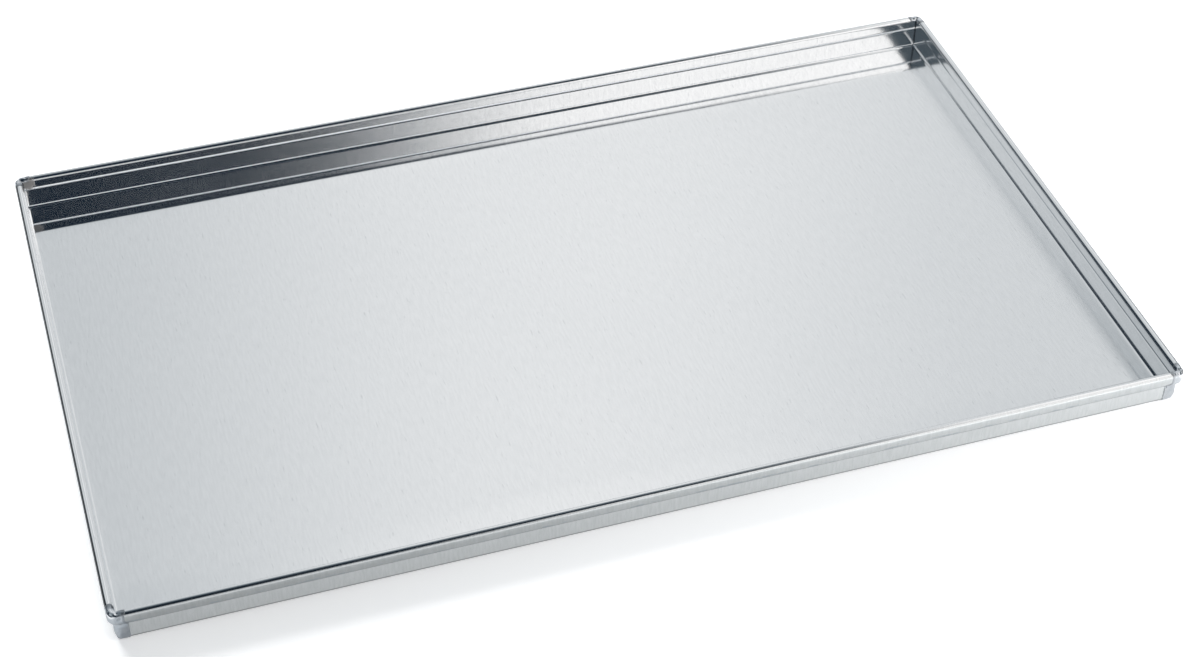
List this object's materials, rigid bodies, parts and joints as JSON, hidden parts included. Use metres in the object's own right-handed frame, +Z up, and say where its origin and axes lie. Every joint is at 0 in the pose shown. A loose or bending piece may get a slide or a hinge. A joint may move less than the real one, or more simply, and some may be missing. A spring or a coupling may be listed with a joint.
{
  "type": "cookie sheet",
  "caption": "Shallow rectangular baking tray in plain sheet metal: flat floor, upright walls, folded wired rim and welded corners.",
  "frame": {"origin": "on the surface that the tray stands on, under the middle of the tray", "axes": "+X along the tray's length, towards its right end; +Y across its width, towards its back; +Z up out of the tray"},
  "size_m": [0.53, 0.325, 0.02],
  "materials": {
    "sheet_aluminium": "mill finish, satin, with a fine straight rolling grain",
    "weld_aluminium": "bright and smooth where the metal has run",
    "rim_wire_steel": "galvanised wire, dull"
  },
  "bodies": {
    "root": {"pan_sheet": "sheet_aluminium", "rim_wire_front": "rim_wire_steel", "rim_wire_back": "rim_wire_steel", "rim_wire_left": "rim_wire_steel", "rim_wire_right": "rim_wire_steel", "corner_weld_front_left": "weld_aluminium", "corner_weld_front_right": "weld_aluminium", "corner_weld_back_left": "weld_aluminium", "corner_weld_back_right": "weld_aluminium"}
  },
  "joints": []
}
